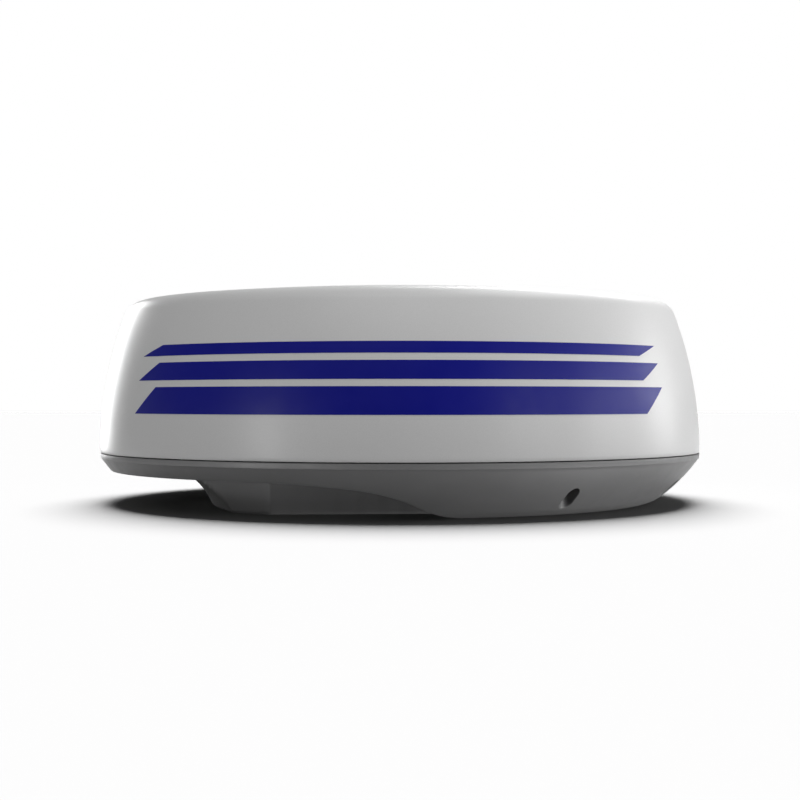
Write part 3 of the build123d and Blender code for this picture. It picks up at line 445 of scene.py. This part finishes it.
def build_cover_bosses():
    """The bosses inside the cover that hold its screw inserts."""
    hole, outside, edge, roof = 4.0 * MM, 8.0 * MM, 1.0 * MM, 6.0 * MM
    low, top = seam_high + 0.2 * MM, seam_high + 20 * MM
    outline = [(hole, low), (outside, low), (outside, top - edge), (outside - edge, top), (0, top),
               (0, top - roof), (hole, top - roof), (hole, low)]
    bm = bmesh.new()
    for angle in screw_angles:
        lathe_into(bm, outline, 32, on_circle(screw_r, angle))
    show(to_object("cover_bosses", bm), "base", materials["radome"], "radome")


# ---------------------------------------------------------------- base housing
def skirt_line():
    """The skirt from the flat bottom up to the band, as dense points and their travel along it."""
    centre, radius = circle_through(*skirt_points)
    reach = math.sqrt((radius - skirt_fillet) ** 2 - (skirt_fillet - centre[1]) ** 2)
    corner = (centre[0] + reach, skirt_fillet)
    joint = angle_of(centre, corner)
    points = arc(corner, skirt_fillet, -math.pi / 2, joint, 60)
    points += arc(centre, radius, joint, angle_of(centre, skirt_points[2]), 120)[1:]
    points = np.array(points)
    travel = np.concatenate([[0], np.cumsum(np.hypot(*np.diff(points, axis=0).T))])
    return points, travel


def cove_flare(height):
    """How far the foot's end wall has flared outwards at a height."""
    lean = math.asin(math.sin(cove_start) + height / cove_r)
    return cove_r * (math.cos(cove_start) - math.cos(lean))


def foot_line(height):
    """The foot's outline at a height, from its aft end to beyond its root, as polar angle and radius."""
    flare = cove_flare(height)
    side = height * math.tan(side_draft)
    corner = (foot_corner[0] - flare, foot_corner[1] + side)
    root = (foot_root[0], foot_root[1] + side)
    centre, radius = circle_through((corner[0], -corner[1]), (foot_end_x - flare, 0.0), corner)
    along = Vector((root[0] - corner[0], root[1] - corner[1])).normalized()
    inward = Vector((along.y, -along.x))
    start = Vector(corner) + inward * foot_corner_r - Vector(centre)
    reach, half = radius - foot_corner_r, start.dot(along)
    step = -half - math.sqrt(half * half - start.length_squared + reach * reach)
    pivot = Vector(centre) + start + along * step
    arc_angle, line_angle = angle_of(centre, pivot), math.atan2(-inward.y, -inward.x)
    points = arc(centre, radius, math.pi, arc_angle, 80)
    points += arc(pivot, foot_corner_r, arc_angle, line_angle, 16)[1:]
    points += [tuple(Vector(root) + along * (20 * MM * t)) for t in range(-9, 12)]
    points = np.array(points)
    polar = np.pi - np.arctan2(points[:, 1], points[:, 0])
    order = np.argsort(polar)
    return polar[order], np.hypot(*points.T)[order]


foot_heights = np.linspace(0, 40 * MM, 21)
foot_table = [foot_line(height) for height in foot_heights]


def foot_radius(aft_angle, height):
    """Distance from the axis to the foot's side at a height, at an angle from -X."""
    radii = [np.interp(aft_angle, *line) for line in foot_table]
    return min(float(np.interp(height, foot_heights, radii)), foot_limit_r)


def ceiling_at(radius, cos):
    """Height of the bay's ceiling at a radius, where cos is the azimuth's cosine, and 0 outside the bay."""
    return max(0.0, float(ceiling(radius * cos)))


def foot_side(aft, cos):
    """The flat bottom and the foot's side up into the ceiling, and the ceiling's height there."""
    top = 0.0
    for _ in range(4):
        top = ceiling_at(foot_radius(aft, top), cos)
    edge, cove = min(foot_edge_r, 0.4 * top), min(foot_cove_r, 0.4 * top)
    bottom_r, cove_foot_r = foot_radius(aft, 0.0), foot_radius(aft, top - cove)
    line = [(bottom_r * share, 0.0) for share in (0.0, 0.3, 0.6, 0.8, 0.92)]
    for a in np.linspace(-math.pi / 2, 0, 5):
        z = edge + edge * math.sin(a)
        line.append((foot_radius(aft, z) - edge + edge * math.cos(a), z))
    line += [(foot_radius(aft, z), z) for z in np.linspace(edge, top - cove, 9)[1:]]
    for a in np.linspace(0, math.pi / 2, 6)[1:]:
        radius = cove_foot_r + cove * (1 - math.cos(a))
        line.append((radius, ceiling_at(radius, cos) - cove * (1 - math.sin(a))))
    return line, top


def skirt_at(distance, skirt, travel):
    """The skirt's radius and height at a distance along it."""
    return tuple(float(np.interp(distance, travel, skirt[:, k])) for k in (0, 1))


def lip_distance(cos, skirt, travel):
    """How far along the skirt the bay's ceiling meets it."""
    low, high = 0.0, travel[-1]
    for _ in range(40):
        middle = (low + high) / 2
        radius, z = skirt_at(middle, skirt, travel)
        if z < ceiling_at(radius, cos):
            low = middle
        else:
            high = middle
    return high


def lip_and_skirt(start_r, cos, skirt, travel):
    """The ceiling out to the softened lip, then the skirt, the band and the seam's edge."""
    lip_s = lip_distance(cos, skirt, travel)
    lip, after = skirt_at(lip_s, skirt, travel), skirt_at(lip_s + lip_soft, skirt, travel)
    radii = [start_r + (lip[0] - lip_soft - start_r) * share for share in np.linspace(0, 1, 13)[1:]]
    line = [(radius, ceiling_at(radius, cos)) for radius in radii]
    before = line[-1]
    for t in (0.2, 0.4, 0.6, 0.8):
        line.append(tuple((1 - t) ** 2 * a + 2 * t * (1 - t) * b + t * t * c
                          for a, b, c in zip(before, lip, after)))
    line += [skirt_at(s, skirt, travel) for s in np.linspace(lip_s + lip_soft, travel[-1], 30)]
    band = dome_r - 0.5 * MM
    return line + [(band - 0.5 * MM, band_low_z - 0.35 * MM), (band - 0.1 * MM, band_low_z + 0.1 * MM),
                   (band, band_low_z + 0.7 * MM), (dome_r - 0.05 * MM, seam_low - 0.6 * MM),
                   (dome_r - 0.2 * MM, seam_low - 0.15 * MM), (dome_r - 0.6 * MM, seam_low)]


def inside_line(aft, cos, top):
    """The inside from the rim to the axis: the channel, the gasket's wall with its groove, the tub."""
    def over_skin(radius, height):
        return radius, max(height, ceiling_at(radius, cos) + base_skin)
    line = [(301.4 * MM, seam_low), (301.0 * MM, seam_low - 0.4 * MM)]
    line += [over_skin(r * MM, z * MM) for r, z in rim_channel]
    line += [(r * MM, seam_low - z * MM) for r, z in gasket_wall]
    line += [over_skin(r * MM, z * MM) for r, z in tub_edge]
    tub_r, inner_r = line[-1][0], foot_radius(aft, max(flat_z, top + base_skin)) - base_skin
    line += [over_skin(tub_r + (inner_r - tub_r) * share, flat_z) for share in np.linspace(0, 1, 7)[1:]]
    start = line[-1][1]
    for share in np.linspace(0, 1, 6)[1:]:
        z = start + (flat_z - start) * share
        line.append((foot_radius(aft, z) - base_skin, z))
    return line + [(line[-1][0] * share, flat_z) for share in (0.9, 0.6, 0.3, 0.0)]


def base_section(azimuth, skirt, travel):
    """The base's closed half section at an azimuth, as (radius, height) points from axis to axis."""
    cos = math.cos(azimuth)
    aft = abs(math.pi - azimuth % math.tau)
    foot, top = foot_side(aft, cos)
    return foot + lip_and_skirt(foot[-1][0], cos, skirt, travel) + inside_line(aft, cos, top)


def mount_places():
    """Centres of the four mount inserts."""
    reach = (insert_high.x - insert_low.x) / 2 - insert_r, (insert_high.y - insert_low.y) / 2 - insert_r
    return [(sx * reach[0], sy * reach[1]) for sx in (-1, 1) for sy in (-1, 1)]


def skirt_height(skirt, x, y):
    """Height of the base's outer skin over a place near the rim."""
    outside = float(np.interp(math.hypot(x, y), skirt[:, 0], skirt[:, 1]))
    return max(outside, float(ceiling(x)))


def base_stock(skirt):
    """Solid stock inside the base: screw bosses, mount pads and bosses, and the pocket's wall."""
    bm = bmesh.new()
    for angle in screw_angles:
        outline = stadium(boss_length, boss_width, on_circle(boss_r, angle), math.radians(angle))
        prism_into(bm, outline, lambda x, y: skirt_height(skirt, x, y) + 1.2 * MM, seam_low - 0.05 * MM)
    for place in mount_places():
        lathe_into(bm, [(0, 0), (pad_r, 0), (pad_r, pad_height), (mount_boss_r, pad_height),
                        (mount_boss_r, mount_boss_height), (0, mount_boss_height)], 64, place)
    half, front = pocket_half + base_skin, pocket_x + base_skin
    rings = []
    for z in np.linspace(1.5 * MM, bay_height + 2 * MM, 12):
        aft = foot_end_x - cove_flare(min(z, bay_height)) + 2.2 * MM
        corners = ((aft, -half), (front, -half), (front, half), (aft, half))
        rings.append([bm.verts.new((*corner, z)) for corner in corners])
    bm.faces.new(rings[0][::-1])
    bm.faces.new(rings[-1])
    skin_rings(bm, rings, closed_way=True)
    return to_object("stock", bm)


def slot_cutter(bm, angle, skirt):
    """A screw slot from its seat down, its edge rounded where it opens in the skirt."""
    def outline(wider):
        size = slot_length + 2 * wider, slot_width + 2 * wider
        return stadium(*size, on_circle(slot_r, angle), math.radians(angle))
    rings = [[(*place, screw_seat_z) for place in outline(0.0)]]
    for wider, over_skin in slot_edge:
        rings.append([(*place, skirt_height(skirt, *place) + over_skin) for place in outline(wider)])
    rings.append([(*place, below) for place in outline(wider)])
    rings = [[bm.verts.new(point) for point in ring] for ring in rings]
    bm.faces.new(rings[0])
    bm.faces.new(rings[-1][::-1])
    skin_rings(bm, rings, closed_way=True)


def base_cutters(skirt):
    """Everything cut from the base: screw slots, plug pocket, mount holes and fixings."""
    bm = bmesh.new()
    for angle in screw_angles:
        slot_cutter(bm, angle, skirt)
    pocket = [(pocket_x - 80 * MM, -pocket_half), (pocket_x - 80 * MM, pocket_half)]
    pocket += arc((pocket_x - 5 * MM, pocket_half - 5 * MM), 5 * MM, math.pi / 2, 0, 7)
    pocket += arc((pocket_x - 5 * MM, -pocket_half + 5 * MM), 5 * MM, 0, -math.pi / 2, 7)
    prism_into(bm, pocket[::-1], below, bay_height)
    for place in mount_places():
        prism_into(bm, circle(insert_r, place), below, insert_high.z)
    for low, high in ((vent_low, vent_high), (ground_low, ground_high)):
        middle = (low + high) / 2
        prism_into(bm, circle(fixing_hole_r, middle.xy, 24), bay_height - 0.3 * MM, 40 * MM)
    return to_object("cutters", bm)


def base_recess():
    """The shallow recess in the underside."""
    bm = bmesh.new()
    prism_into(bm, rounded_box(recess_half_x, recess_half_y, recess_corner_r), below, recess_depth)
    return to_object("recess", bm)


def build_base():
    """The base as sections joined round the axis, with its recess, its stock and its cuts."""
    skirt, travel = skirt_line()
    azimuths = [math.tau * i / 720 for i in range(720)]
    sections = [base_section(azimuth, skirt, travel) for azimuth in azimuths]
    bm = bmesh.new()
    rings = []
    for row in zip(*sections):
        if row[0][0] < TINY:
            rings.append([bm.verts.new((0, 0, row[0][1]))])
            continue
        rings.append([bm.verts.new((radius * math.cos(a), radius * math.sin(a), z))
                      for a, (radius, z) in zip(azimuths, row)])
    skin_rings(bm, rings, closed_way=True)
    bmesh.ops.remove_doubles(bm, verts=bm.verts, dist=0.002 * MM)
    base = to_object("base_shell", bm)
    combined(base, base_recess(), "DIFFERENCE")
    combined(base, base_stock(skirt), "UNION")
    combined(base, base_cutters(skirt), "DIFFERENCE")
    sharpen(base, 32)
    show(base, "base", materials["housing"], "housing", "base_housing")


# ---------------------------------------------------------------- decal
def build_decal():
    """Plain blue stripes on both sides of the cover, a fraction of a millimetre proud."""
    bm = bmesh.new()
    for facing in (-90, 90):
        for low, high in stripes:
            grid = []
            for share in np.linspace(0, 1, 9):
                z = seam_z + (low + (high - low) * share) * MM
                middle = facing + stripe_slant * (share - 0.5)
                angles = np.linspace(middle - stripe_half, middle + stripe_half, 160)
                radius = dome_radius(z) + stripe_proud
                grid.append([bm.verts.new((*on_circle(radius, angle), z)) for angle in angles])
            skin_rings(bm, grid, closed_way=False)
    show(to_object("cover_stripes", bm), "base", materials["decal"], "radome")


build_cover()
build_cover_bosses()
build_base()
build_decal()

# ---------------------------------------------------------------- CAD nodes that stay, with their materials
for row in frame["record"]["subparts"]:
    node = frame["nodes"][row["node"]]
    node.data.materials.clear()
    node.data.materials.append(materials[row["material_slot"]])


# ---------------------------------------------------------------- floor, backdrop, light, camera
def emitter(name, strength):
    """A material that only glows."""
    material = bpy.data.materials.new(name)
    material.use_nodes = True
    tree = material.node_tree
    tree.nodes.remove(tree.nodes["Principled BSDF"])
    glow = tree.nodes.new("ShaderNodeEmission")
    glow.inputs["Strength"].default_value = strength
    tree.links.new(glow.outputs["Emission"], tree.nodes["Material Output"].inputs["Surface"])
    return material


def disc(name, radius, place, material):
    """A flat disc, at a place."""
    bm = bmesh.new()
    bmesh.ops.create_circle(bm, cap_ends=True, segments=96, radius=radius)
    made = to_object(name, bm)
    made.location = place
    made.data.materials.append(material)
    return made


def build_stage():
    """The floor, the backdrop, and under the floor a dark card that keeps low light off the foot."""
    pale = new_material("floor_pale", (0.2, 0.2, 0.2), 0.9, specular=0.0)[0]
    dark = new_material("shade_black", (0.02, 0.02, 0.02), 0.9, specular=0.0)[0]
    floor = disc("floor", 12.0, (0, 0, -0.05 * MM), pale)
    floor.visible_diffuse = False
    card = disc("shade_card", 0.43, (0, -30 * MM, -0.5 * MM), dark)
    card.visible_camera = False
    bm = bmesh.new()
    bmesh.ops.create_uvsphere(bm, u_segments=48, v_segments=24, radius=11.0)
    backdrop = to_object("backdrop", bm)
    backdrop.data.materials.append(emitter("backdrop_white", 1.0))
    backdrop.visible_diffuse = backdrop.visible_glossy = backdrop.visible_shadow = False
    return floor, card


def area(name, azimuth, elevation, width, height, power):
    """A soft box 2 m from the dome's middle; azimuth from -Y towards +X and elevation in degrees."""
    light = bpy.data.lights.new(name, "AREA")
    light.shape, light.size, light.size_y, light.energy = "RECTANGLE", width, height, power
    made = bpy.data.objects.new(name, light)
    bpy.context.scene.collection.objects.link(made)
    a, e = math.radians(azimuth), math.radians(elevation)
    towards = Vector((math.sin(a) * math.cos(e), -math.cos(a) * math.cos(e), math.sin(e)))
    made.location = Vector((0, 0, 110 * MM)) + towards * 2.0
    made.rotation_euler = towards.to_track_quat("Z", "Y").to_euler()
    return made


def link_group(name, state, *objects):
    """A light's receivers or blockers: these objects alone, or all but these."""
    group = bpy.data.collections.new(name)
    for number, piece in enumerate(objects):
        group.objects.link(piece)
        group.collection_objects[number].light_linking.link_state = state
    return group


def build_light(floor, card):
    """A dim world, a broad light for the floor, soft boxes for the object, two low fills for its base."""
    world = bpy.data.worlds.new("studio")
    bpy.context.scene.world = world
    world.use_nodes = True
    world.node_tree.nodes["Background"].inputs["Color"].default_value = (1, 1, 1, 1)
    world.node_tree.nodes["Background"].inputs["Strength"].default_value = 0.2
    sun = bpy.data.objects.new("floor_light", bpy.data.lights.new("floor_light", "SUN"))
    sun.data.energy, sun.data.angle = 16.0, math.radians(45)
    sun.rotation_euler = (math.radians(-22), 0, 0)
    bpy.context.scene.collection.objects.link(sun)
    sun.light_linking.receiver_collection = link_group("floor_only", "INCLUDE", floor)
    no_floor = link_group("all_but_floor", "EXCLUDE", floor)
    for row in (("front_high", -10, 50, 1.2, 1.2, 5.0), ("front_right", 45, 8, 0.7, 0.7, 4.0),
                ("right", 75, 8, 0.7, 0.7, 6.2), ("side", 105, 8, 0.7, 0.7, 8.0),
                ("side_high", 85, 62, 1.0, 1.0, 10.0), ("back_right_high", 150, 45, 1.3, 1.0, 24.0),
                ("front_left", -45, 2, 0.3, 0.4, 3.8), ("back_left", -142, 8, 0.5, 0.9, 20.0)):
        area(*row).light_linking.receiver_collection = no_floor
    base_only = link_group("base_only", "INCLUDE", bpy.data.objects["base_shell"])
    no_stage = link_group("all_but_floor_and_card", "EXCLUDE", floor, card)
    for blockers, *row in ((no_stage, "right_fill", 72, -33, 0.7, 0.7, 22.0),
                           (no_floor, "left_fill", -45, -8, 1.0, 0.2, 9.5)):
        fill = area(*row)
        fill.light_linking.receiver_collection = base_only
        fill.light_linking.blocker_collection = blockers


def build_camera():
    """A level camera in front, a little above the seam."""
    camera = bpy.data.objects.new("camera", bpy.data.cameras.new("camera"))
    camera.data.lens, camera.data.sensor_width = 64.64, 36.0
    camera.location = (0.0, -4.9 * dome_r, seam_z + 52.4 * MM)
    camera.rotation_euler = (math.pi / 2, 0.0, 0.0)
    camera.data.clip_start, camera.data.clip_end = 0.05, 40.0
    bpy.context.scene.collection.objects.link(camera)
    bpy.context.scene.camera = camera


bpy.context.scene.view_settings.view_transform = "Standard"
build_light(*build_stage())
build_camera()
